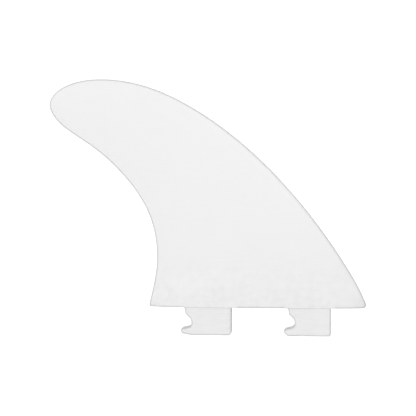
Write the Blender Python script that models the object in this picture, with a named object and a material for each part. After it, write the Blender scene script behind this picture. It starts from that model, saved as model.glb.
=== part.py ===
"""A twin-tab surfboard fin: a bonded composite blade on two plug-in tabs.

Everything is in metres. +X points to the leading edge, +Z up the blade, and Y runs across its
thickness. The origin is on the flat base, midway between the tabs, and the fin is symmetric about
the plane Y = 0. The blade is laid out on chords: straight lines from a point on the trailing edge to
the point at the same fraction of the leading edge, so "along" is 0 at the base and 1 at the tip, and
"across" is 0 at the trailing edge and 1 at the leading edge.
"""

import math

import bmesh
import bpy
import numpy as np

MM = 0.001
GAP = 0.3 * MM  # left between pieces that touch on the real fin

# The blade's outline as (x, z) in millimetres: from the rear corner of the base, up the trailing
# edge, round the tip and down the leading edge to the front corner of the base.
OUTLINE = [
    (-57.5, 0.0),
    (-53.0, 24.5),
    (-57.5, 49.0),
    (-68.0, 65.5),
    (-84.0, 81.0),
    (-97.0, 90.0),
    (-106.0, 98.0),
    (-108.5, 105.5),
    (-107.5, 108.0),
    (-96.5, 115.5),
    (-83.0, 117.5),
    (-59.0, 114.0),
    (-33.0, 102.0),
    (-2.0, 78.5),
    (24.0, 50.5),
    (44.5, 21.5),
    (53.5, 5.0),
    (55.5, 0.0),
]
TIP_KNOT = 7  # the outline's point furthest aft, where the two edges meet
REAR_CORNER_RADIUS = 1.1 * MM
FRONT_CORNER_RADIUS = 1.6 * MM
EDGE_SAMPLES = 600
CORNER_LOOK_AHEAD = 8  # samples up the edge, which give its direction at the corner
CORNER_STEPS = 8

# The foil, which is the same on both sides.
BASE_THICKNESS = 7.8 * MM
TIP_THICKNESS = 2.6 * MM
EDGE_HALF = 0.45 * MM  # half the thickness left at the blade's edge
THICKEST = 0.35  # fraction of the chord from the leading edge to the thickest point
TAIL_POWER = 2.0  # how full the foil is behind its thickest point
TAIL_POWER_AT_BASE = 8.0  # fuller here, so that the blade covers the tabs
BASE_FLARE_HEIGHT = 20.0 * MM
ROUND_TIP_CHORD = 30.0 * MM  # chords shorter than this get thinner, which rounds the tip

# The layers inside.
SKIN_AT_BASE = 0.9 * MM
SKIN_AT_TIP = 0.5 * MM
THINNEST_HALF = 0.25 * MM  # half the thickness of an inner piece at its thinnest
BLOCK_TOP = 0.155  # along the blade
TIP_INFILL_START = 0.8
TIP_INFILL_END = 0.955
TRAILING_BEAD_SHARE = 0.07  # of the cavity's width
LEADING_BEAD_SHARE = 0.06
JOINT_ALONG = 0.004  # along the blade, between the block, the core and the infill

# The tabs. Their x places below are measured from the neck, the straight stretch just below the base.
TAB_THICKNESS = 6.3 * MM
TAB_DEPTH = 14.45 * MM
NECK_FILLET = 1.0 * MM
NECK_SLANT = 0.3 * MM  # the neck's top lies this much further aft than its foot
NECK_LENGTH = 3.4 * MM
NOTCH_UPPER_RADIUS = 4.25 * MM
NOTCH_FROM, NOTCH_TO = 65, -72  # degrees, above and below its deepest point
REAR_TAB = {
    "neck": -38.0 * MM,
    "front": -14.3 * MM,
    "corner": 1.9 * MM,
    "notch": (3.1 * MM, -8.1 * MM),  # its deepest point
    "notch_lower_radius": 2.1 * MM,
    "hook_arcs": [  # each arc's centre and radius in millimetres, and its angles in degrees
        ((-1.5, -11.75), 0.95, 102, 180),
        ((-1.2, -12.4), 1.25, 180, 258),
    ],
    "heel": 2.9 * MM,  # where the hook's sloping underside meets the flat foot
}
FRONT_TAB = {
    "neck": 15.4 * MM,
    "front": 36.8 * MM,
    "corner": 0.9 * MM,
    "notch": (2.95 * MM, -7.7 * MM),
    "notch_lower_radius": 2.3 * MM,
    "hook_arcs": [
        ((-1.55, -11.85), 1.15, 105, 180),
        ((-1.15, -11.85), 1.55, 188, 228),
    ],
    "heel": -0.65 * MM,
}
ROOT_THICKNESS = 4.4 * MM
ROOT_HEIGHT = 14.0 * MM
ROOT_INSET = 1.8 * MM  # the root is narrower than the tab by this at each end
ROOT_BITE = 3.0 * MM  # how far the root's own solid reaches down into the tab before they are joined

# Where the rows and columns of the meshes lie, along and across the blade.
CORNER_ROWS = [0, 0.003, 0.006, 0.0095, 0.0135]  # close enough to round the base corners
BODY_ROWS = np.linspace(0.035, 0.89, 17).tolist()
TIP_ROWS = [0.91, 0.93, 0.947, 0.962, 0.975, 0.985, 0.993, 0.998]
COLUMNS = [0, 0.015, 0.05, 0.12, 0.2, 0.3, 0.4, 0.5, 0.6, 0.7, 0.79, 0.87, 0.93, 0.965, 0.988, 1]
BLOCK_ROWS = CORNER_ROWS + np.linspace(BODY_ROWS[0], BLOCK_TOP, 4).tolist()
CORE_ROWS = np.linspace(BLOCK_TOP + JOINT_ALONG, TIP_INFILL_START - JOINT_ALONG, 13).tolist()
INFILL_ROWS = np.linspace(TIP_INFILL_START, TIP_INFILL_END, 6).tolist()
CORE_COLUMNS = 11
INFILL_COLUMNS = 9
BLOCK_COLUMNS = 15
TRAILING_BEAD_COLUMNS = 3
LEADING_BEAD_COLUMNS = 4
ROOT_COLUMNS = 6
ROOT_ROWS = 4  # above the base
FILLET_STEPS, NOTCH_STEPS, HOOK_STEPS, FOOT_STEPS = 3, 6, 4, 4  # along each arc of a tab
SHARP_ANGLE = math.radians(35)  # faces that meet at more than this keep a crisp edge

# How finely a place on the blade is searched for.
SCAN_SAMPLES = 200
HALVINGS = 40


def natural_spline(points, samples):
    """Evenly spaced points along a natural cubic spline through these points."""
    steps = np.linalg.norm(np.diff(points, axis=0), axis=1)
    knots = np.concatenate([[0], np.cumsum(steps)])
    slopes = np.diff(points, axis=0) / steps[:, None]
    system = np.eye(len(points))
    turn = np.zeros_like(points)
    for i in range(1, len(points) - 1):
        system[i, i - 1 : i + 2] = steps[i - 1], 2 * (steps[i - 1] + steps[i]), steps[i]
        turn[i] = 6 * (slopes[i] - slopes[i - 1])
    bend = np.linalg.solve(system, turn)
    places = np.linspace(0, knots[-1], samples)
    span = np.clip(np.searchsorted(knots, places, "right") - 1, 0, len(steps) - 1)
    step = steps[span][:, None]
    after = (places - knots[span])[:, None]
    before = step - after
    straight = (points[span] * before + points[span + 1] * after) / step
    curved = bend[span] * before * (before**2 - step**2) + bend[span + 1] * after * (after**2 - step**2)
    return straight + curved / (6 * step)


def rounded_corner(base_direction, edge, radius):
    """The edge with its first point, a corner on the base, replaced by an arc of this radius."""
    corner = edge[0]
    up = edge[CORNER_LOOK_AHEAD] - corner
    up /= np.linalg.norm(up)
    half_angle = math.acos(float(up @ base_direction)) / 2
    setback = radius / math.tan(half_angle)
    middle = up + base_direction
    centre = corner + middle / np.linalg.norm(middle) * radius / math.sin(half_angle)
    start = corner + base_direction * setback - centre
    end = corner + up * setback - centre
    turn = math.acos(float(start @ end) / radius**2)
    rounding = [
        centre + (start * math.sin(turn * (1 - t)) + end * math.sin(turn * t)) / math.sin(turn)
        for t in np.linspace(0, 1, CORNER_STEPS + 1)
    ]
    beyond = np.linalg.norm(edge - corner, axis=1) > setback
    return np.vstack([rounding, edge[beyond]])


def blade_edges():
    """The trailing and the leading edge, each from the base to the tip."""
    knots = np.array(OUTLINE) * MM
    outline = natural_spline(knots, 2 * EDGE_SAMPLES)
    tip = int(np.argmin(np.linalg.norm(outline - knots[TIP_KNOT], axis=1)))
    forward = np.array([1.0, 0.0])
    return (
        rounded_corner(forward, outline[: tip + 1], REAR_CORNER_RADIUS),
        rounded_corner(-forward, outline[tip:][::-1], FRONT_CORNER_RADIUS),
    )


def fractions_of(edge):
    lengths = np.concatenate([[0], np.cumsum(np.linalg.norm(np.diff(edge, axis=0), axis=1))])
    return lengths / lengths[-1]


TRAILING, LEADING = blade_edges()
TRAILING_FRACTIONS, LEADING_FRACTIONS = fractions_of(TRAILING), fractions_of(LEADING)


def chord(along):
    """The chord's two ends, on the trailing and the leading edge."""
    ends = ((TRAILING, TRAILING_FRACTIONS), (LEADING, LEADING_FRACTIONS))
    return [np.array([np.interp(along, marks, edge[:, axis]) for axis in (0, 1)]) for edge, marks in ends]


def between(start, end, share):
    return start + (end - start) * share


def smooth_share(value):
    value = min(max(value, 0.0), 1.0)
    return value * value * (3 - 2 * value)


def quarter_round(value):
    """Rises from 0 to 1 like a quarter of a circle."""
    return math.sqrt(1 - (1 - min(max(value, 0.0), 1.0)) ** 2)


def half_thickness(across, along):
    """Half the blade's thickness at this place."""
    trailing, leading = chord(along)
    height = between(trailing, leading, across)[1]
    thickest = between(BASE_THICKNESS, TIP_THICKNESS, along) / 2
    thickest *= quarter_round(np.linalg.norm(leading - trailing) / ROUND_TIP_CHORD)
    power = between(TAIL_POWER_AT_BASE, TAIL_POWER, smooth_share(height / BASE_FLARE_HEIGHT))
    from_leading = 1 - across
    nose = quarter_round(from_leading / THICKEST)
    tail = 1 - max(0.0, (from_leading - THICKEST) / (1 - THICKEST)) ** power
    return EDGE_HALF + max(thickest - EDGE_HALF, 0.0) * nose * tail


def skin_thickness(along):
    return between(SKIN_AT_BASE, SKIN_AT_TIP, along)


def cavity_half(across, along):
    """Half the thickness that is left for an inner piece between the two skins."""
    return half_thickness(across, along) - skin_thickness(along) - GAP


def cavity_ends(along):
    """Where across the chord the cavity is just thick enough for an inner piece."""
    trailing_side = np.linspace(0, 1 - THICKEST, SCAN_SAMPLES)
    leading_side = np.linspace(1, 1 - THICKEST, SCAN_SAMPLES)
    ends = []
    for places in (trailing_side, leading_side):
        rooms = [cavity_half(place, along) for place in places]
        ends.append(float(np.interp(THINNEST_HALF, rooms, places)))
    return ends


def place_on_blade(x, z):
    """How far across and along the blade this point of its side view is."""
    low, high = 0.0, 1.0
    for _ in range(HALVINGS):
        along = (low + high) / 2
        trailing, leading = chord(along)
        across = (x - trailing[0]) / (leading[0] - trailing[0])
        if between(trailing, leading, across)[1] < z:
            low = along
        else:
            high = along
    return across, along


def closed_mesh(name, points, faces):
    """A mesh object with its faces turned outwards."""
    mesh = bpy.data.meshes.new(name)
    mesh.from_pydata([tuple(map(float, point)) for point in points], [], faces)
    shape = bmesh.new()
    shape.from_mesh(mesh)
    bmesh.ops.recalc_face_normals(shape, faces=shape.faces)
    shape.to_mesh(mesh)
    shape.free()
    mesh.shade_smooth()
    mesh.set_sharp_from_angle(angle=SHARP_ANGLE)
    made = bpy.data.objects.new(name, mesh)
    bpy.context.collection.objects.link(made)
    return made


def sheet_faces(rows, columns, first):
    """The four-sided faces of a grid of points that starts at this index."""
    faces = []
    for row in range(rows - 1):
        for column in range(columns - 1):
            corner = first + row * columns + column
            faces.append((corner, corner + 1, corner + columns + 1, corner + columns))
    return faces


def rim_of(rows, columns):
    """The indexes round the border of a grid, in order."""
    bottom = list(range(columns))
    right = [row * columns + columns - 1 for row in range(1, rows)]
    top = [(rows - 1) * columns + column for column in range(columns - 2, -1, -1)]
    left = [row * columns for row in range(rows - 2, 0, -1)]
    return bottom + right + top + left


def shell_between(name, one_side, other_side):
    """A closed solid between two grids of points with the same rows and columns."""
    rows, columns = len(one_side), len(one_side[0])
    points = [point for side in (one_side, other_side) for row in side for point in row]
    second = rows * columns
    faces = sheet_faces(rows, columns, 0) + sheet_faces(rows, columns, second)
    rim = rim_of(rows, columns)
    for here, there in zip(rim, rim[1:] + rim[:1]):
        faces.append((here, there, there + second, here + second))
    return closed_mesh(name, points, faces)


def blade_point(across, along, y):
    x, z = between(*chord(along), across)
    return (x, y, z)


def make_skin(name, side):
    """One laminate skin. Its inner face runs parallel to its outer one until it meets the mid-plane."""
    rows = CORNER_ROWS + BODY_ROWS + TIP_ROWS
    outer, inner = [], []
    for along in rows:
        halves = [half_thickness(across, along) for across in COLUMNS]
        hollow = [max(half - skin_thickness(along), GAP / 2) for half in halves]
        outer.append([blade_point(u, along, side * half) for u, half in zip(COLUMNS, halves)])
        inner.append([blade_point(u, along, side * half) for u, half in zip(COLUMNS, hollow)])
    return shell_between(name, outer, inner)


def make_inner_piece(name, rows, share_range, columns):
    """A solid that fills part of the cavity: a stretch along the blade by a share of its width."""
    sides = [[], []]
    for along in rows:
        first, last = cavity_ends(along)
        trailing, leading = chord(along)
        joint = GAP / (np.linalg.norm(leading - trailing) * (last - first)) / 2
        start = share_range[0] + (joint if share_range[0] > 0 else 0)
        end = share_range[1] - (joint if share_range[1] < 1 else 0)
        places = [between(first, last, share) for share in np.linspace(start, end, columns)]
        halves = [max(cavity_half(place, along), THINNEST_HALF) for place in places]
        for side, grid in zip((-1, 1), sides):
            grid.append([blade_point(u, along, side * half) for u, half in zip(places, halves)])
    return shell_between(name, *sides)


def arc(centre, radius, start, end, steps):
    """Points on an arc, from one angle in degrees to the other."""
    angles = np.radians(np.linspace(start, end, steps + 1))
    return [(centre[0] + radius * math.cos(a), centre[1] + radius * math.sin(a)) for a in angles]


def notch_arcs(tab):
    """The notch above and below its deepest point."""
    x, z = tab["neck"] + tab["notch"][0], tab["notch"][1]
    low = tab["notch_lower_radius"]
    upper = arc((x - NOTCH_UPPER_RADIUS, z), NOTCH_UPPER_RADIUS, NOTCH_FROM, 0, NOTCH_STEPS)
    lower = arc((x - low, z), low, 0, NOTCH_TO, NOTCH_STEPS)
    return upper + lower[1:]


def hook_arcs(tab):
    """The hook, from its top round to its underside."""
    points = []
    for (x, z), radius, start, end in tab["hook_arcs"]:
        points += arc((tab["neck"] + x * MM, z * MM), radius * MM, start, end, HOOK_STEPS)
    return points


def tab_outline(tab):
    """The tab's side view below the base, as (x, z), clockwise from the top of its neck."""
    neck, front, corner = tab["neck"], tab["front"], tab["corner"]
    fillet = (neck - NECK_SLANT - NECK_FILLET, -GAP - NECK_FILLET)
    points = arc(fillet, NECK_FILLET, 90, 0, FILLET_STEPS) + [(neck, -NECK_LENGTH)]
    points += notch_arcs(tab) + hook_arcs(tab)
    points.append((neck + tab["heel"], -TAB_DEPTH))
    points += arc((front - corner, corner - TAB_DEPTH), corner, -90, 0, FOOT_STEPS)
    points.append((front, -GAP))
    return points


def make_plate(name, outline, thickness):
    """A flat plate of this outline, centred on the mid-plane."""
    count = len(outline)
    points = [(x, side * thickness / 2, z) for side in (-1, 1) for x, z in outline]
    faces = [tuple(range(count)), tuple(range(count, 2 * count))]
    for here in range(count):
        there = (here + 1) % count
        faces.append((here, there, there + count, here + count))
    return closed_mesh(name, points, faces)


def root_half(x, z):
    """Half the root's thickness: its own, or less where the blade is too thin to hold it."""
    if z <= 0:
        return ROOT_THICKNESS / 2
    return min(ROOT_THICKNESS / 2, cavity_half(*place_on_blade(x, z)))


def make_root(name, tab):
    """The thinner part of a tab that reaches up inside the blade."""
    low, high = tab["neck"] + ROOT_INSET, tab["front"] - ROOT_INSET
    heights = [-ROOT_BITE, *np.linspace(0.0, ROOT_HEIGHT, ROOT_ROWS)]
    places = np.linspace(low, high, ROOT_COLUMNS)
    sides = [[[(x, side * root_half(x, z), z) for x in places] for z in heights] for side in (-1, 1)]
    return shell_between(name, *sides)


def as_helper(guide):
    guide.hide_render = True
    guide.display_type = "WIRE"
    return guide


def join_with(body, operation, other):
    """A Boolean on the body, with a helper that stays out of the model."""
    modifier = body.modifiers.new(other.name, "BOOLEAN")
    modifier.operation = operation
    modifier.solver = "EXACT"
    modifier.object = as_helper(other)


def make_tab(name, tab):
    plate = make_plate(name, tab_outline(tab), TAB_THICKNESS)
    join_with(plate, "UNION", make_root(name + "_root", tab))
    return plate


def make_base_block(name, share_range):
    """The solid block at the base, with a slot from below for each tab's root."""
    block = make_inner_piece(name, BLOCK_ROWS, share_range, BLOCK_COLUMNS)
    for tab_name, tab in (("rear", REAR_TAB), ("front", FRONT_TAB)):
        low = tab["neck"] + ROOT_INSET - GAP
        high = tab["front"] - ROOT_INSET + GAP
        bottom, top = -ROOT_BITE, ROOT_HEIGHT + GAP
        outline = [(low, bottom), (low, top), (high, top), (high, bottom)]
        slot = make_plate(tab_name + "_slot", outline, 2 * BASE_THICKNESS)
        join_with(block, "DIFFERENCE", slot)
    return block


def paint(piece, colour, roughness):
    """Gives the piece a plain, non-metallic material of its own."""
    material = bpy.data.materials.new(piece.name)
    material.use_nodes = True
    surface = material.node_tree.nodes["Principled BSDF"]
    surface.inputs["Base Color"].default_value = (*colour, 1)
    surface.inputs["Roughness"].default_value = roughness
    surface.inputs["Metallic"].default_value = 0
    material.diffuse_color = (*colour, 1)
    piece.data.materials.append(material)


def clear_scene():
    for thing in list(bpy.data.objects):
        bpy.data.objects.remove(thing)


def main():
    clear_scene()
    white = (0.86, 0.86, 0.85)
    tab_white = (0.8, 0.8, 0.79)
    resin = (0.78, 0.79, 0.76)
    foam = (0.87, 0.85, 0.78)
    core_shares = (TRAILING_BEAD_SHARE, 1 - LEADING_BEAD_SHARE)
    bead_rows = BLOCK_ROWS + CORE_ROWS
    core = make_inner_piece("foam_core", CORE_ROWS, core_shares, CORE_COLUMNS)
    trailing = make_inner_piece("trailing_edge_bead", bead_rows, (0, core_shares[0]), TRAILING_BEAD_COLUMNS)
    leading = make_inner_piece("leading_edge_bead", bead_rows, (core_shares[1], 1), LEADING_BEAD_COLUMNS)
    infill = make_inner_piece("tip_infill", INFILL_ROWS, (0, 1), INFILL_COLUMNS)
    paint(make_skin("front_skin", -1), white, 0.4)
    paint(make_skin("back_skin", 1), white, 0.4)
    paint(core, foam, 0.9)
    paint(trailing, resin, 0.3)
    paint(leading, resin, 0.3)
    paint(infill, resin, 0.4)
    paint(make_base_block("base_block", core_shares), resin, 0.5)
    paint(make_tab("rear_tab", REAR_TAB), tab_white, 0.5)
    paint(make_tab("front_tab", FRONT_TAB), tab_white, 0.5)


main()
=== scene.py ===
import math

import bmesh
import bpy
import numpy as np
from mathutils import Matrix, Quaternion, Vector
from mathutils.geometry import delaunay_2d_cdt


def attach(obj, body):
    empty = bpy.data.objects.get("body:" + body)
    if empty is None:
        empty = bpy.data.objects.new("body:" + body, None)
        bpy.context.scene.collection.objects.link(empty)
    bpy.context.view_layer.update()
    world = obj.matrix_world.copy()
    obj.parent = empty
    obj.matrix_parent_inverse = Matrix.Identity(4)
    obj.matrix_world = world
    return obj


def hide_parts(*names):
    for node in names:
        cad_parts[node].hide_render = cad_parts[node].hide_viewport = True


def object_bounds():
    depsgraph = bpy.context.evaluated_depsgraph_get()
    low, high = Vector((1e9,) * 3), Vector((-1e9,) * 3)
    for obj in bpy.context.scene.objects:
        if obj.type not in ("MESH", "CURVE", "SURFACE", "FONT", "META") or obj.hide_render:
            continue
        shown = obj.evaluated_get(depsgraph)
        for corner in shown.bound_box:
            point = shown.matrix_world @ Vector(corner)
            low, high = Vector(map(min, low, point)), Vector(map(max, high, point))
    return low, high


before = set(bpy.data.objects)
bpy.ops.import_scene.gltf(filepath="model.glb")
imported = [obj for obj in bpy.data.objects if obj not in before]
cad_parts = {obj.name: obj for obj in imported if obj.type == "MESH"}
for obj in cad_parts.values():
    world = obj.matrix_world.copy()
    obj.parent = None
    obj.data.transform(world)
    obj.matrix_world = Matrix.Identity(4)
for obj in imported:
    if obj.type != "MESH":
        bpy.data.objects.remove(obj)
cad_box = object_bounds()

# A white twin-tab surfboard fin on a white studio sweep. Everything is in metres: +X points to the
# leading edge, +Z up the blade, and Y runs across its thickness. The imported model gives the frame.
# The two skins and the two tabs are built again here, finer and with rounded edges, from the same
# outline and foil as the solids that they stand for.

MM = 0.001

# ---------------------------------------------------------------- the blade's outline and its foil

# As (x, z) in millimetres: from the rear corner of the base, up the trailing edge, round the tip
# and down the leading edge to the front corner of the base.
OUTLINE = [
    (-57.5, 0.0),
    (-53.0, 24.5),
    (-57.5, 49.0),
    (-68.0, 65.5),
    (-84.0, 81.0),
    (-97.0, 90.0),
    (-106.0, 98.0),
    (-108.5, 105.5),
    (-107.5, 108.0),
    (-96.5, 115.5),
    (-83.0, 117.5),
    (-59.0, 114.0),
    (-33.0, 102.0),
    (-2.0, 78.5),
    (24.0, 50.5),
    (44.5, 21.5),
    (53.5, 5.0),
    (55.5, 0.0),
]
TIP_KNOT = 7  # the outline's point furthest aft, where the two edges meet
REAR_CORNER_RADIUS = 1.1 * MM
FRONT_CORNER_RADIUS = 1.6 * MM
EDGE_SAMPLES = 1500
CORNER_LOOK_AHEAD = 75  # an edge's direction at its corner is that of its first 1/75
CORNER_STEPS = 24

BASE_THICKNESS = 7.8 * MM
TIP_THICKNESS = 2.6 * MM
EDGE_HALF = 0.45 * MM  # half the thickness left at the blade's edge
THICKEST = 0.35  # fraction of the chord from the leading edge to the thickest point
TAIL_POWER = 2.0  # how full the foil is behind its thickest point
TAIL_POWER_AT_BASE = 8.0
BASE_FLARE_HEIGHT = 20.0 * MM
ROUND_TIP_CHORD = 30.0 * MM

SKIN_AT_BASE = 0.9 * MM
SKIN_AT_TIP = 0.5 * MM

# The fine surface.
SEAM_HALF = 0.01 * MM  # from the mid-plane to each skin, where they meet
SHARPEST = 0.02 * MM  # how thick a skin still is at its very edge
BASE_EDGE_RADIUS = 0.4 * MM
BASE_EDGE_OVER_TABS = 0.1  # the share of that radius where the base meets a tab
RESIN_AND_SHADE_EDGE = 0.85 * MM  # the width along the blade's edge where the greyer resin and the painted shade of the rounded edge show
RESIN_AND_SHADE_BASE = 0.55 * MM  # and along its base
RESIN_AND_SHADE_ON_TRAILING, RESIN_AND_SHADE_ON_LEADING, RESIN_AND_SHADE_ON_BASE = 1.25, 1.05, 1.6  # how strongly the resin and the painted shade show
TAB_FADE = 3.0 * MM  # the length over which the base's edge gets crisper towards a tab
ROW_STEP = 1.3 * MM
COLUMN_COUNT = 60
SHARP_ANGLE = 40  # degrees; gentler folds are shaded smooth

# The rows up from the base, the columns in from each edge, and the rows down from the tip.
BASE_ROW_HEIGHTS = np.array([0, 0.02, 0.06, 0.12, 0.2, 0.3, 0.42, 0.6, 0.9, 1.3, 2.0]) * MM
EDGE_STEPS = np.array([0, 0.015, 0.05, 0.11, 0.19, 0.29, 0.4, 0.52, 0.7, 1.0, 1.6, 2.6, 4.0]) * MM
TIP_ROW_STEPS = np.array([3.8, 3.0, 2.35, 1.8, 1.4, 1.05, 0.75, 0.5, 0.3, 0.15, 0.06]) * MM
MOST_OF_CHORD = 0.35  # of a short chord, which those columns squeeze into at each end


def natural_spline(points, samples):
    """Evenly spaced points along a natural cubic spline through these points."""
    steps = np.linalg.norm(np.diff(points, axis=0), axis=1)
    knots = np.concatenate([[0], np.cumsum(steps)])
    slopes = np.diff(points, axis=0) / steps[:, None]
    system = np.eye(len(points))
    turn = np.zeros_like(points)
    for i in range(1, len(points) - 1):
        system[i, i - 1 : i + 2] = steps[i - 1], 2 * (steps[i - 1] + steps[i]), steps[i]
        turn[i] = 6 * (slopes[i] - slopes[i - 1])
    bend = np.linalg.solve(system, turn)
    places = np.linspace(0, knots[-1], samples)
    span = np.clip(np.searchsorted(knots, places, "right") - 1, 0, len(steps) - 1)
    step = steps[span][:, None]
    after = (places - knots[span])[:, None]
    before = step - after
    straight = (points[span] * before + points[span + 1] * after) / step
    curved = bend[span] * before * (before**2 - step**2) + bend[span + 1] * after * (after**2 - step**2)
    return straight + curved / (6 * step)


def rounded_corner(base_direction, edge, radius):
    """The edge with its first point, a corner on the base, replaced by an arc of this radius."""
    corner = edge[0]
    up = edge[len(edge) // CORNER_LOOK_AHEAD] - corner
    up /= np.linalg.norm(up)
    half_angle = math.acos(float(up @ base_direction)) / 2
    setback = radius / math.tan(half_angle)
    middle = up + base_direction
    centre = corner + middle / np.linalg.norm(middle) * radius / math.sin(half_angle)
    start = corner + base_direction * setback - centre
    end = corner + up * setback - centre
    turn = math.acos(float(start @ end) / radius**2)
    arc_points = [
        centre + (start * math.sin(turn * (1 - t)) + end * math.sin(turn * t)) / math.sin(turn)
        for t in np.linspace(0, 1, CORNER_STEPS + 1)
    ]
    beyond = np.linalg.norm(edge - corner, axis=1) > setback
    return np.vstack([arc_points, edge[beyond]])


def blade_edges():
    """The trailing and the leading edge, each from the base to the tip."""
    knots = np.array(OUTLINE) * MM
    outline = natural_spline(knots, 2 * EDGE_SAMPLES)
    tip = int(np.argmin(np.linalg.norm(outline - knots[TIP_KNOT], axis=1)))
    forward = np.array([1.0, 0.0])
    return (
        rounded_corner(forward, outline[: tip + 1], REAR_CORNER_RADIUS),
        rounded_corner(-forward, outline[tip:][::-1], FRONT_CORNER_RADIUS),
    )


def lengths_along(edge):
    """How far along the edge each of its points lies."""
    return np.concatenate([[0], np.cumsum(np.linalg.norm(np.diff(edge, axis=0), axis=1))])


TRAILING, LEADING = blade_edges()
EDGE_LENGTH = lengths_along(LEADING)[-1]


def chord_ends(along):
    """The chords' ends on the trailing and on the leading edge, a row of (x, z) for each."""
    ends = []
    for edge in (TRAILING, LEADING):
        marks = lengths_along(edge)
        marks /= marks[-1]
        ends.append(np.stack([np.interp(along, marks, edge[:, axis]) for axis in (0, 1)], axis=-1))
    return ends


def between(start, end, share):
    """The start where the share is 0 and the end where it is 1."""
    return start + (end - start) * share


def smooth_share(value):
    """Rises smoothly from 0 to 1 as the value does."""
    value = np.clip(value, 0, 1)
    return value * value * (3 - 2 * value)


def quarter_round(value):
    """Rises from 0 to 1 like a quarter of a circle."""
    return np.sqrt(1 - (1 - np.clip(value, 0, 1)) ** 2)


def round_off(distance, radius):
    """How much a fillet of this radius takes off at this distance from the edge."""
    return radius * (1 - quarter_round(distance / radius))


def distance_to_outline(points):
    """From each (x, z) point to the nearest point on the trailing or the leading edge."""
    outline = np.vstack([TRAILING, LEADING[::-1]])
    found = [np.linalg.norm(row[:, None] - outline[None], axis=2).min(axis=1) for row in points]
    return np.array(found)


def foil_half(across, along, length, height):
    """Half the blade's thickness, before its edges are rounded off."""
    thickest = between(BASE_THICKNESS, TIP_THICKNESS, along) / 2
    thickest = thickest * quarter_round(length / ROUND_TIP_CHORD)
    power = between(TAIL_POWER_AT_BASE, TAIL_POWER, smooth_share(height / BASE_FLARE_HEIGHT))
    nose = quarter_round((1 - across) / THICKEST)
    behind = np.clip((1 - across - THICKEST) / (1 - THICKEST), 0, 1)
    return EDGE_HALF + np.maximum(thickest - EDGE_HALF, 0) * nose * (1 - behind**power)


# ------------------------------------------------------------------------------- meshes from grids


def closed_mesh(name, points, faces, sharp_angle=SHARP_ANGLE):
    """A smooth-shaded mesh object with its faces turned outwards."""
    mesh = bpy.data.meshes.new(name)
    mesh.from_pydata(np.asarray(points, float).tolist(), [], faces)
    shape = bmesh.new()
    shape.from_mesh(mesh)
    bmesh.ops.recalc_face_normals(shape, faces=shape.faces)
    shape.to_mesh(mesh)
    shape.free()
    mesh.shade_smooth()
    mesh.set_sharp_from_angle(angle=math.radians(sharp_angle))
    made = bpy.data.objects.new(name, mesh)
    bpy.context.scene.collection.objects.link(made)
    return made


def sheet_faces(rows, columns, first):
    """The four-sided faces of a grid of points that starts at this index."""
    faces = []
    for row in range(rows - 1):
        for column in range(columns - 1):
            corner = first + row * columns + column
            faces.append((corner, corner + 1, corner + columns + 1, corner + columns))
    return faces


def rim_of(rows, columns):
    """The indexes round the border of a grid, in order."""
    bottom = list(range(columns))
    right = [row * columns + columns - 1 for row in range(1, rows)]
    top = [(rows - 1) * columns + column for column in range(columns - 2, -1, -1)]
    left = [row * columns for row in range(rows - 2, 0, -1)]
    return bottom + right + top + left


def shell_between(name, one_side, other_side):
    """A closed solid between two grids of points with the same rows and columns."""
    rows, columns = one_side.shape[:2]
    second = rows * columns
    faces = sheet_faces(rows, columns, 0) + sheet_faces(rows, columns, second)
    rim = rim_of(rows, columns)
    for here, there in zip(rim, rim[1:] + rim[:1]):
        faces.append((here, there, there + second, here + second))
    points = np.concatenate([one_side.reshape(-1, 3), other_side.reshape(-1, 3)])
    return closed_mesh(name, points, faces)


def mark_points(piece, name, values):
    """Stores a number at each of the mesh's points, which a material can read."""
    attribute = piece.data.attributes.new(name, "FLOAT", "POINT")
    attribute.data.foreach_set("value", np.asarray(values, np.float32))


# ----------------------------------------------------------------------------------- the two skins


def skin_rows():
    """Rows up the blade: close together at the rounded base edge and round the tip."""
    low = BASE_ROW_HEIGHTS[-1]
    high = EDGE_LENGTH - TIP_ROW_STEPS[0]
    middle = np.linspace(low, high, int((high - low) / ROW_STEP))[1:-1]
    return np.concatenate([BASE_ROW_HEIGHTS, middle, EDGE_LENGTH - TIP_ROW_STEPS]) / EDGE_LENGTH


def skin_columns(lengths):
    """Columns across each chord, close together at both edges."""
    columns = []
    for length in lengths:
        steps = EDGE_STEPS / length * min(1, MOST_OF_CHORD * length / EDGE_STEPS[-1])
        middle = np.linspace(steps[-1], 1 - steps[-1], COLUMN_COUNT)[1:-1]
        columns.append(np.concatenate([steps, middle, 1 - steps[::-1]]))
    return np.array(columns)


def blade_grid():
    """The skins' grid: how far across, the (x, z) points, the blade's half thickness, the skin's."""
    rows = skin_rows()
    trailing, leading = chord_ends(rows)
    lengths = np.linalg.norm(leading - trailing, axis=1)
    across = skin_columns(lengths)
    along = rows[:, None]
    points = between(trailing[:, None], leading[:, None], across[..., None])
    half = foil_half(across, along, lengths[:, None], points[..., 1])
    return across, points, half, between(SKIN_AT_BASE, SKIN_AT_TIP, along)


def away_from_tabs(x):
    """1 along the base, and a small share of that where a tab meets it."""
    over = np.zeros_like(x)
    for tab in (REAR_TAB, FRONT_TAB):
        inside = np.minimum(x - tab["neck"], tab["front"] - x)
        over = np.maximum(over, smooth_share(inside / TAB_FADE + 1))
    return between(1.0, BASE_EDGE_OVER_TABS, over)


def edge_band(distance, width):
    """1 at an edge, falling to 0 at this distance from it."""
    return 1 - np.clip(distance / width, 0, 1) ** 2


def resin_and_painted_shade(across, points, from_edge):
    """How much greyer resin and painted shade of the rounded edges show at each point: along the edges
    and along the base.
    """
    along_edge = edge_band(from_edge, RESIN_AND_SHADE_EDGE) * between(RESIN_AND_SHADE_ON_TRAILING, RESIN_AND_SHADE_ON_LEADING, across)
    clear_of_tabs = away_from_tabs(points[..., 0])
    along_base = edge_band(points[..., 1] / clear_of_tabs, RESIN_AND_SHADE_BASE) * clear_of_tabs * RESIN_AND_SHADE_ON_BASE
    return np.maximum(along_edge, along_base)


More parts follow.
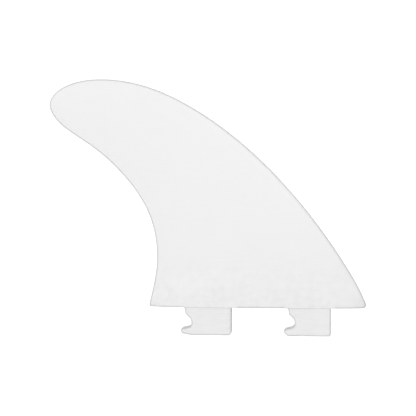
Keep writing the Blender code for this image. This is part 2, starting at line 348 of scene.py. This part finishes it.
def make_skins():
    """Both skins, as closed shells between the blade's rounded outside and its cavity."""
    across, points, half, skin = blade_grid()
    from_edge = distance_to_outline(points)
    outer = half - round_off(from_edge, EDGE_HALF)
    outer = outer - round_off(points[..., 1], BASE_EDGE_RADIUS) * away_from_tabs(points[..., 0])
    outer = np.maximum(outer, SEAM_HALF + SHARPEST)
    inner = np.clip(half - skin, SEAM_HALF, outer - SHARPEST / 2)
    shade = resin_and_painted_shade(across, points, from_edge).reshape(-1)
    skins = []
    for name, side in (("front_skin_surface", -1), ("back_skin_surface", 1)):
        sheets = [np.stack([points[..., 0], side * y, points[..., 1]], axis=-1) for y in (outer, inner)]
        piece = shell_between(name, *sheets)
        mark_points(piece, "edge_shade", np.concatenate([shade, shade]))
        skins.append(piece)
    return skins


# ------------------------------------------------------------------------------------ the two tabs

# The x places are measured from the neck, the straight stretch just below the base.
TAB_THICKNESS = 6.3 * MM
TAB_DEPTH = 14.45 * MM
TAB_TOP = -0.03 * MM  # a hair below the base
NECK_FILLET = 1.0 * MM
NECK_SLANT = 0.3 * MM  # the neck's top lies this much further aft than its foot
NECK_LENGTH = 3.4 * MM
NOTCH_UPPER_RADIUS = 4.25 * MM
NOTCH_FROM, NOTCH_TO = 65, -72  # degrees, above and below its deepest point
REAR_TAB = {
    "neck": -38.0 * MM,
    "front": -14.3 * MM,
    "corner": 1.9 * MM,
    "notch": (3.1 * MM, -8.1 * MM),  # its deepest point
    "notch_lower_radius": 2.1 * MM,
    "hook_arcs": [  # each arc's centre and radius in millimetres, and its angles in degrees
        ((-1.5, -11.75), 0.95, 102, 180),
        ((-1.2, -12.4), 1.25, 180, 258),
    ],
    "heel": 2.9 * MM,  # where the hook's sloping underside meets the flat foot
}
FRONT_TAB = {
    "neck": 15.4 * MM,
    "front": 36.8 * MM,
    "corner": 0.9 * MM,
    "notch": (2.95 * MM, -7.7 * MM),
    "notch_lower_radius": 2.3 * MM,
    "hook_arcs": [
        ((-1.55, -11.85), 1.15, 105, 180),
        ((-1.15, -11.85), 1.55, 188, 228),
    ],
    "heel": -0.65 * MM,
}
ROOT_HEIGHT = 14.0 * MM
ROOT_INSET = 1.8 * MM
ROOT_HALF = 1.6 * MM  # half its thickness
SIDE_EDGE_RADIUS = 0.22 * MM
FOOT_EDGE_RADIUS = 0.6 * MM
EDGE_TURNS = 5  # steps round each of those edges
FILLET_STEPS, NOTCH_STEPS, HOOK_STEPS, FOOT_STEPS = 8, 28, 16, 10
OUTLINE_STEP = 0.12 * MM
CORNER_SMOOTHING = 12  # rounds of smoothing, which round the outline's inner corners
FACE_STEP = 0.35 * MM  # between the points on the flat faces
SAME_PLACE = 0.0002 * MM  # points on them closer than this are one
TAB_SHARP_ANGLE = 30  # degrees
BAND_WIDTH = 0.9 * MM  # of the band of painted shade along the edges
TOP_BAND_WIDTH = 1.0 * MM  # and below an edge that faces up, as on a hook's top
PAINTED_WALL_SHADE = 0.8  # the painted shade of the narrow sides, where that of an edge is 1
PAINTED_TOP_SHADOW = 0.65  # painted shadow added where the surface faces up, as on a hook's top under the base


def arc(centre, radius, start, end, steps):
    """Points on an arc, from one angle in degrees to the other."""
    angles = np.radians(np.linspace(start, end, steps + 1))
    return [(centre[0] + radius * math.cos(a), centre[1] + radius * math.sin(a)) for a in angles]


def notch_arcs(tab):
    """The notch above and below its deepest point."""
    x, z = tab["neck"] + tab["notch"][0], tab["notch"][1]
    low = tab["notch_lower_radius"]
    upper = arc((x - NOTCH_UPPER_RADIUS, z), NOTCH_UPPER_RADIUS, NOTCH_FROM, 0, NOTCH_STEPS)
    lower = arc((x - low, z), low, 0, NOTCH_TO, NOTCH_STEPS)
    return upper + lower[1:]


def hook_arcs(tab):
    """The hook, from its top round to its underside."""
    points = []
    for (x, z), radius, start, end in tab["hook_arcs"]:
        points += arc((tab["neck"] + x * MM, z * MM), radius * MM, start, end, HOOK_STEPS)
    return points


def tab_outline(tab):
    """The tab's side view as (x, z): from the base down its hooked side and back up its front."""
    neck, front, corner = tab["neck"], tab["front"], tab["corner"]
    fillet = (neck - NECK_SLANT - NECK_FILLET, TAB_TOP - NECK_FILLET)
    points = arc(fillet, NECK_FILLET, 90, 0, FILLET_STEPS) + [(neck, -NECK_LENGTH)]
    points += notch_arcs(tab) + hook_arcs(tab)
    points.append((neck + tab["heel"], -TAB_DEPTH))
    points += arc((front - corner, corner - TAB_DEPTH), corner, -90, 0, FOOT_STEPS)
    points.append((front, TAB_TOP))
    return softened(np.array(points))


def softened(line):
    """The line in even small steps, its corners rounded a little and its two ends kept."""
    marks = lengths_along(line)
    places = np.linspace(0, marks[-1], int(marks[-1] / OUTLINE_STEP))
    line = np.stack([np.interp(places, marks, line[:, axis]) for axis in (0, 1)], axis=1)
    for _ in range(CORNER_SMOOTHING):
        line[1:-1] = (line[:-2] + 2 * line[1:-1] + line[2:]) / 4
    return line


def inward_normals(outline):
    """For each point of the outline, the way into the material."""
    steps = np.diff(outline, axis=0)
    steps /= np.linalg.norm(steps, axis=1)[:, None]
    along = np.vstack([steps[:1], steps]) + np.vstack([steps, steps[-1:]])
    along /= np.linalg.norm(along, axis=1)[:, None]
    return np.stack([-along[:, 1], along[:, 0]], axis=1)


def edge_radii(tab, outline, inward):
    """The radius of the rounded edge at each point: wider along the foot, crisp at the base."""
    along_foot = (outline[:, 1] < tab["notch"][1]) * np.clip(inward[:, 1], 0, 1) ** 2
    radius = between(SIDE_EDGE_RADIUS, FOOT_EDGE_RADIUS, along_foot)
    return np.where(outline[:, 1] > TAB_TOP - SIDE_EDGE_RADIUS, SHARPEST, radius)


def painted_tab_shade(points, outline, inward):
    """How much painted shade the flat face has at each point: most at its edges, and widest under a
    hook's top, where it is painted shadow.
    """
    distance = np.linalg.norm(points[:, None] - outline[None], axis=2)
    nearest = distance.argmin(axis=1)
    faces_up = np.clip(-inward[nearest, 1], 0, 1)
    width = between(BAND_WIDTH, TOP_BAND_WIDTH, faces_up)
    return edge_band(distance.min(axis=1), width) * (1 + PAINTED_TOP_SHADOW * faces_up)


def flat_face(border):
    """Points all over the flat face inside this border, and the triangles between them."""
    axes = [np.arange(border[:, axis].min(), border[:, axis].max(), FACE_STEP) for axis in (0, 1)]
    grid = np.stack(np.meshgrid(*axes), axis=-1).reshape(-1, 2)
    clearance = np.linalg.norm(grid[:, None] - border[None], axis=2).min(axis=1)
    places = np.vstack([border, grid[clearance > FACE_STEP / 2]])
    loop = [tuple(range(len(border)))]
    found = delaunay_2d_cdt([Vector(place) for place in places], [], loop, 1, SAME_PLACE)
    sources = found[3]  # the given points that each of its points stands for
    triangles = np.array([[sources[corner][0] for corner in triangle] for triangle in found[2]])
    inside = np.unique(triangles[triangles >= len(border)])
    numbers = np.arange(len(places))
    numbers[inside] = np.arange(len(inside)) + len(border)
    return places[inside], numbers[triangles]


def edge_rings(tab, outline, inward):
    """Rings round the tab's rounded edge, from its flat face to its narrow side, and their painted
    shade.
    """
    radius = edge_radii(tab, outline, inward)
    side_shade = PAINTED_WALL_SHADE + PAINTED_TOP_SHADOW * np.clip(-inward[:, 1], 0, 1)
    rings, shades = [], []
    for turn in np.radians(np.linspace(0, 90, EDGE_TURNS + 1)):
        ring = outline + inward * (radius * (1 - math.sin(turn)))[:, None]
        y = TAB_THICKNESS / 2 - radius * (1 - math.cos(turn))
        rings.append(np.stack([ring[:, 0], y, ring[:, 1]], axis=1))
        shades.append(between(painted_tab_shade(ring, outline, inward), side_shade, math.sin(turn)))
    return rings, shades


def plate_faces(ring_count, outline_count, flat_count, triangles):
    """The faces between all the rings, those of both flat sides, and the one on top."""
    last = ring_count - 1
    first_flat = ring_count * outline_count
    faces = sheet_faces(ring_count, outline_count, 0)
    for ring_start, flat_start in ((0, first_flat), (last * outline_count, first_flat + flat_count)):
        offset = np.where(triangles < outline_count, ring_start, flat_start - outline_count)
        faces += (triangles + offset).tolist()
    top_rear = [ring * outline_count for ring in range(ring_count)]
    top_front = [ring * outline_count + outline_count - 1 for ring in range(last, -1, -1)]
    faces.append(tuple(top_rear + top_front))
    return faces


def make_tab_plate(name, tab):
    """The tab below the base: its flat sides meet its narrow sides in rounded edges."""
    outline = tab_outline(tab)
    inward = inward_normals(outline)
    rings, shades = edge_rings(tab, outline, inward)
    inside, triangles = flat_face(rings[0][:, [0, 2]])
    flat = np.stack([inside[:, 0], np.full(len(inside), TAB_THICKNESS / 2), inside[:, 1]], axis=1)
    flat_shade = painted_tab_shade(inside, outline, inward)
    far_side = (1, -1, 1)
    far_rings = [ring * far_side for ring in reversed(rings)]
    points = np.concatenate([*rings, *far_rings, flat, flat * far_side])
    faces = plate_faces(2 * len(rings), len(outline), len(inside), triangles)
    plate = closed_mesh(name, points, faces, TAB_SHARP_ANGLE)
    shade = np.concatenate([*shades, *reversed(shades), flat_shade, flat_shade])
    mark_points(plate, "edge_shade", shade)
    return plate


def make_root(tab):
    """The thinner part of the tab that reaches up inside the blade."""
    ends = (tab["neck"] + ROOT_INSET, tab["front"] - ROOT_INSET)
    sides = [
        np.array([[(x, side * ROOT_HALF, z) for x in ends] for z in (TAB_TOP, ROOT_HEIGHT)])
        for side in (-1, 1)
    ]
    return shell_between("root", *sides)


def make_tab(name, tab):
    """The tab and its root, as one piece."""
    plate, root = make_tab_plate(name, tab), make_root(tab)
    shape = bmesh.new()
    shape.from_mesh(plate.data)
    shape.from_mesh(root.data)
    shape.to_mesh(plate.data)
    shape.free()
    bpy.data.objects.remove(root)
    return plate


# --------------------------------------------------------------------------------- the materials


def node(tree, kind, inputs, **settings):
    """Adds a shader node. An input that is another node's output becomes a link."""
    made = tree.nodes.new("ShaderNode" + kind)
    for name, value in settings.items():
        setattr(made, name, value)
    for name, value in inputs.items():
        if isinstance(value, bpy.types.NodeSocket):
            tree.links.new(value, made.inputs[name])
        else:
            made.inputs[name].default_value = value
    return made


def noise(tree, place, size, detail=3.0, stretch=(1, 1, 1)):
    """Noise whose blotches are about this size in metres, longer along an axis with a large stretch."""
    shrink = [1 / factor for factor in stretch]
    shrunk = node(tree, "VectorMath", {0: place, 1: shrink}, operation="MULTIPLY").outputs[0]
    inputs = {"Vector": shrunk, "Scale": 1 / size, "Detail": detail}
    return node(tree, "TexNoise", inputs).outputs["Fac"]


def maths(tree, operation, one, other):
    return node(tree, "Math", {0: one, 1: other}, operation=operation).outputs[0]


def spread(tree, value, low, high):
    """Maps noise, which lies mostly between 0.3 and 0.7, to this range."""
    inputs = {"Value": value, "From Min": 0.3, "From Max": 0.7, "To Min": low, "To Max": high}
    return node(tree, "MapRange", inputs).outputs["Result"]


def new_surface(name, slot_settings):
    """A material with a Principled shader that has these constant settings."""
    material = bpy.data.materials.new(name)
    material.use_nodes = True
    surface = material.node_tree.nodes["Principled BSDF"]
    for socket, value in slot_settings.items():
        surface.inputs[socket].default_value = value
    return material, material.node_tree, surface


def link_colour(tree, surface, brightness, tint):
    """The base colour: this tint times a brightness that varies over the surface."""
    colour = node(tree, "CombineColor", {})
    for channel, share in zip(("Red", "Green", "Blue"), tint):
        tree.links.new(maths(tree, "MULTIPLY", brightness, share), colour.inputs[channel])
    tree.links.new(colour.outputs[0], surface.inputs["Base Color"])


def link_bump(tree, surface, height, strength, distance):
    bump = node(tree, "Bump", {"Height": height, "Strength": strength, "Distance": distance})
    tree.links.new(bump.outputs[0], surface.inputs["Normal"])


RESIN_AND_SHADE_DARKER = 0.25  # how much darker the laminate gets where its edge shade is 1: greyer resin and painted shade of the rounded edges
TAB_EDGE_DARKER = 0.24  # and the tabs, where it is all painted shade and painted shadow
WAVE_PERIOD = 0.314  # the width of the wave texture's bands at a scale of 1
PIT_FLOOR = 0.6  # the share of a pit's radius where it is at its full depth
NEUTRAL = (1.0, 1.0, 1.0)


def shaded_edge(tree, tone, darker):
    """This brightness, darker along the piece's edges: painted shade, and on the blade greyer resin
    too.
    """
    edge = node(tree, "Attribute", {}, attribute_name="edge_shade").outputs["Fac"]
    kept = maths(tree, "SUBTRACT", 1.0, maths(tree, "MULTIPLY", edge, darker))
    return maths(tree, "MULTIPLY", tone, kept)


def rises(tree, value, start, end):
    """0 before the start and 1 past the end, or the other way round where the end is lower."""
    inputs = {"Value": value, "From Min": start, "From Max": end}
    return node(tree, "MapRange", inputs).outputs["Result"]


def total(tree, *terms):
    """The sum of these values."""
    result = terms[0]
    for term in terms[1:]:
        result = maths(tree, "ADD", result, term)
    return result


def scaled(tree, value, factor):
    return maths(tree, "MULTIPLY", value, factor)


def woven(tree, place, step):
    """A plain weave seen from the side: threads along X crossed by threads along Z."""
    bands = [
        node(
            tree, "TexWave", {"Vector": place, "Scale": WAVE_PERIOD / step, "Distortion": 0.6},
            wave_type="BANDS", bands_direction=direction,
        ).outputs["Fac"]
        for direction in ("X", "Z")
    ]
    return maths(tree, "MULTIPLY", *bands)


def pits(tree, place, spacing, radius, share):
    """1 in small round pits that lie about this far apart, in this share of the cells."""
    cells = node(tree, "TexVoronoi", {"Vector": place, "Scale": 1 / spacing})
    chosen = node(tree, "SeparateColor", {"Color": cells.outputs["Color"]}).outputs["Red"]
    near = rises(tree, cells.outputs["Distance"], radius / spacing, PIT_FLOOR * radius / spacing)
    return maths(tree, "MULTIPLY", near, maths(tree, "LESS_THAN", chosen, share))


def laminate_material():
    """White pigmented glass laminate, sanded to a satin: cloth shows through faintly."""
    settings = {"Specular IOR Level": 0.5, "Coat Weight": 0.12, "Coat Roughness": 0.35}
    material, tree, surface = new_surface("white_laminate", settings)
    place = node(tree, "TexCoord", {}).outputs["Object"]
    height = node(tree, "SeparateXYZ", {"Vector": place}).outputs["Z"]
    cloud = noise(tree, place, 22 * MM, 4.0)
    patch = noise(tree, place, 9 * MM, 2.0)
    fleck = noise(tree, place, 3.5 * MM, 3.0)
    grain = noise(tree, place, 0.5 * MM, 2.0)
    sanding = noise(tree, place, 0.35 * MM, 2.0, stretch=(40, 40, 1))
    cloth = woven(tree, place, 0.9 * MM)
    pinholes = pits(tree, place, 2.4 * MM, 0.09 * MM, 0.25)
    mottle = maths(tree, "MULTIPLY", spread(tree, fleck, -0.06, 0.005), spread(tree, patch, 0.5, 1.2))
    tone = total(
        tree,
        spread(tree, cloud, 0.838, 0.853),
        # A little darker towards the tip and more towards the base: painted shade, for less light
        # coming through the thicker laminate at the base.
        scaled(tree, rises(tree, height, 0.0, 115 * MM), -0.006),
        scaled(tree, rises(tree, height, 60 * MM, 0.0), -0.018),
        maths(tree, "MULTIPLY", mottle, rises(tree, height, 30 * MM, 0.0)),
        spread(tree, grain, -0.006, 0.006),
        spread(tree, sanding, -0.006, 0.006),
        scaled(tree, cloth, 0.012),
        scaled(tree, pinholes, -0.12),
    )
    link_colour(tree, surface, shaded_edge(tree, tone, RESIN_AND_SHADE_DARKER), NEUTRAL)
    rough = total(tree, spread(tree, cloud, 0.36, 0.48), spread(tree, sanding, -0.04, 0.04))
    tree.links.new(rough, surface.inputs["Roughness"])
    relief = total(
        tree, scaled(tree, cloth, 0.5), scaled(tree, sanding, 0.5), scaled(tree, grain, 0.4),
        scaled(tree, pinholes, -2.0),
    )
    link_bump(tree, surface, relief, 0.3, 0.03 * MM)
    return material


def tab_material():
    """White moulded fibre-filled plastic, with flow streaks along the tab."""
    material, tree, surface = new_surface("white_tab_plastic", {"Specular IOR Level": 0.5})
    place = node(tree, "TexCoord", {}).outputs["Object"]
    streaks = noise(tree, place, 0.7 * MM, 3.0, stretch=(9, 9, 1))
    patch = noise(tree, place, 5 * MM, 2.0)
    grain = noise(tree, place, 0.3 * MM, 2.0)
    fibres = noise(tree, place, 0.12 * MM, 2.0, stretch=(12, 12, 1))
    pinholes = pits(tree, place, 1.6 * MM, 0.07 * MM, 0.3)
    tone = total(
        tree,
        spread(tree, streaks, 0.796, 0.836),
        spread(tree, patch, -0.008, 0.008),
        spread(tree, fibres, -0.012, 0.012),
        scaled(tree, pinholes, -0.12),
    )
    link_colour(tree, surface, shaded_edge(tree, tone, TAB_EDGE_DARKER), NEUTRAL)
    tree.links.new(spread(tree, streaks, 0.42, 0.6), surface.inputs["Roughness"])
    relief = total(tree, streaks, scaled(tree, grain, 0.5), scaled(tree, pinholes, -2.0))
    link_bump(tree, surface, relief, 0.35, 0.05 * MM)
    return material


def resin_material():
    """Clear-cast resin full of glass fibre: slightly green, and a little see-through."""
    settings = {"Specular IOR Level": 0.5, "Subsurface Weight": 0.2, "Subsurface Scale": 1 * MM}
    material, tree, surface = new_surface("fibre_resin", settings)
    place = node(tree, "TexCoord", {}).outputs["Object"]
    fibres = noise(tree, place, 0.5 * MM, 4.0, stretch=(12, 1, 12))
    tone = spread(tree, fibres, 0.7, 0.8)
    link_colour(tree, surface, tone, (1.0, 1.02, 0.97))
    tree.links.new(spread(tree, fibres, 0.2, 0.4), surface.inputs["Roughness"])
    link_bump(tree, surface, fibres, 0.3, 0.05 * MM)
    return material


def block_material():
    """Stacked glass cloth: thin layers, one above the other across the thickness."""
    material, tree, surface = new_surface("stacked_glass_cloth", {"Specular IOR Level": 0.5})
    place = node(tree, "TexCoord", {}).outputs["Object"]
    layers = node(
        tree, "TexWave", {"Vector": place, "Scale": WAVE_PERIOD / (0.4 * MM), "Distortion": 1.0},
        wave_type="BANDS", bands_direction="Y",
    ).outputs["Fac"]
    fibres = noise(tree, place, 0.4 * MM, 3.0, stretch=(10, 1, 1))
    tone = maths(tree, "ADD", spread(tree, layers, 0.72, 0.77), spread(tree, fibres, -0.02, 0.02))
    link_colour(tree, surface, tone, (1.0, 1.01, 0.975))
    tree.links.new(spread(tree, fibres, 0.4, 0.6), surface.inputs["Roughness"])
    link_bump(tree, surface, layers, 0.3, 0.05 * MM)
    return material


def foam_material():
    """Closed-cell foam: small round cells."""
    material, tree, surface = new_surface("foam", {"Specular IOR Level": 0.2, "Roughness": 0.9})
    place = node(tree, "TexCoord", {}).outputs["Object"]
    cells = node(tree, "TexVoronoi", {"Vector": place, "Scale": 1 / (0.6 * MM)}).outputs["Distance"]
    tone = spread(tree, cells, 0.8, 0.86)
    link_colour(tree, surface, tone, (1.0, 0.98, 0.9))
    link_bump(tree, surface, cells, 0.6, 0.2 * MM)
    return material


def dress(piece, material):
    """Gives the piece this material, and no other."""
    piece.data.materials.clear()
    piece.data.materials.append(material)


# --------------------------------------------------------------------------- the studio and camera

FLOOR_RADIUS = 2.0
COVE_RADIUS = 0.8
COVE_TOP = 3.0
COVE_STEPS = 12
SWEEP_STEPS = 64  # round the whole floor
WELD_DISTANCE = 0.01 * MM  # for the points that meet at its middle and at its seam


def make_sweep(floor_height):
    """A round white floor that curves up into a wall on every side."""
    profile = [(0.0, 0.0), (FLOOR_RADIUS, 0.0)]
    centre = (FLOOR_RADIUS, COVE_RADIUS)
    profile += arc(centre, COVE_RADIUS, -90, 0, COVE_STEPS)[1:]
    profile.append((FLOOR_RADIUS + COVE_RADIUS, COVE_TOP))
    shape = bmesh.new()
    line = [shape.verts.new((x, 0, z + floor_height)) for x, z in profile]
    edges = [shape.edges.new(pair) for pair in zip(line, line[1:])]
    turned = {"cent": (0, 0, 0), "axis": (0, 0, 1), "angle": math.tau, "steps": SWEEP_STEPS}
    bmesh.ops.spin(shape, geom=line + edges, **turned)
    bmesh.ops.remove_doubles(shape, verts=shape.verts, dist=WELD_DISTANCE)
    bmesh.ops.recalc_face_normals(shape, faces=shape.faces)
    mesh = bpy.data.meshes.new("studio_sweep")
    shape.to_mesh(mesh)
    shape.free()
    mesh.shade_smooth()
    sweep = bpy.data.objects.new("studio_sweep", mesh)
    bpy.context.scene.collection.objects.link(sweep)
    for ray in ("diffuse", "glossy", "transmission", "shadow"):
        setattr(sweep, "visible_" + ray, False)
    return sweep


def sweep_material():
    """Bright white paper, just over the brightness that the picture can show."""
    settings = {"Base Color": (0.3, 0.3, 0.3, 1), "Roughness": 1.0, "Specular IOR Level": 0.0}
    settings |= {"Emission Color": (1, 1, 1, 1), "Emission Strength": 0.95}
    return new_surface("white_paper", settings)[0]


SOFTBOX_DISTANCE = 1.6
SOFTBOXES = [  # name, azimuth and elevation in degrees (azimuth 0 is the camera's side), size, watts
    ("front_softbox", 0, 5, 1.6, 8.6),
    ("key_softbox", 20, 25, 0.8, 3.1),
    ("left_softbox", -50, 10, 0.8, 4.2),
    ("edge_softbox", 90, 40, 0.8, 1.8),
    ("back_softbox", 180, 5, 1.6, 7.0),
    ("back_left_softbox", -160, 20, 1.2, 3.0),
    ("back_right_softbox", 160, 20, 1.2, 3.0),
]
AIR_BRIGHTNESS = 0.56  # the even light that a white room gives from every side

CAMERA_PLACE = (0.05706, -0.79387, 0.10415)
CAMERA_TARGET = (-0.02638, 0.0, 0.05114)
CAMERA_ROLL = -0.25  # degrees
LENS = 134.45  # millimetres, on a sensor of this width
SENSOR_WIDTH = 36.0
FARTHEST_SEEN = 20.0


def add_softbox(name, azimuth, elevation, size, watts, centre):
    """A square area light on a sphere round the fin, turned to its middle."""
    light = bpy.data.lights.new(name, "AREA")
    light.size = size
    light.energy = watts
    turn, rise = math.radians(azimuth), math.radians(elevation)
    away = Vector((math.sin(turn) * math.cos(rise), -math.cos(turn) * math.cos(rise), math.sin(rise)))
    lamp = bpy.data.objects.new(name, light)
    lamp.location = centre + away * SOFTBOX_DISTANCE
    lamp.rotation_euler = away.to_track_quat("Z", "Y").to_euler()
    bpy.context.scene.collection.objects.link(lamp)


def light_studio(centre):
    """The softboxes, and the even light of the room."""
    for softbox in SOFTBOXES:
        add_softbox(*softbox, centre)
    world = bpy.data.worlds.new("studio_air")
    world.use_nodes = True
    air = world.node_tree.nodes["Background"]
    air.inputs["Color"].default_value = (1, 1, 1, 1)
    air.inputs["Strength"].default_value = AIR_BRIGHTNESS
    bpy.context.scene.world = world


def set_camera():
    """A long lens at the fin's side, a little above its middle and towards its leading edge."""
    data = bpy.data.cameras.new("camera")
    data.lens = LENS
    data.sensor_width = SENSOR_WIDTH
    data.clip_end = FARTHEST_SEEN
    camera = bpy.data.objects.new("camera", data)
    camera.location = CAMERA_PLACE
    camera.rotation_mode = "QUATERNION"
    towards = (Vector(CAMERA_TARGET) - Vector(CAMERA_PLACE)).to_track_quat("-Z", "Y")
    camera.rotation_quaternion = towards @ Quaternion((0, 0, 1), math.radians(CAMERA_ROLL))
    bpy.context.scene.collection.objects.link(camera)
    bpy.context.scene.camera = camera


# --------------------------------------------------------------------------------- put it together


def build_fin():
    """Fine skins and tabs replace the CAD's. The inner pieces stay, with new materials."""
    laminate = laminate_material()
    plastic = tab_material()
    resin = resin_material()
    for skin, node_name in zip(make_skins(), ("front_skin", "back_skin")):
        dress(skin, laminate)
        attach(skin, "root")
        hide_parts(node_name)
    for node_name, tab in (("rear_tab", REAR_TAB), ("front_tab", FRONT_TAB)):
        piece = make_tab(node_name + "_moulding", tab)
        dress(piece, plastic)
        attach(piece, "root")
        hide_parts(node_name)
    for node_name in ("leading_edge_bead", "trailing_edge_bead", "tip_infill"):
        dress(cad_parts[node_name], resin)
    dress(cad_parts["base_block"], block_material())
    dress(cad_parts["foam_core"], foam_material())


def build_studio():
    """The floor under the fin, the lights round it, and the camera."""
    low, high = cad_box
    sweep = make_sweep(low[2])
    dress(sweep, sweep_material())
    light_studio((Vector(low) + Vector(high)) / 2)
    set_camera()
    bpy.context.scene.view_settings.view_transform = "Standard"


build_fin()
build_studio()
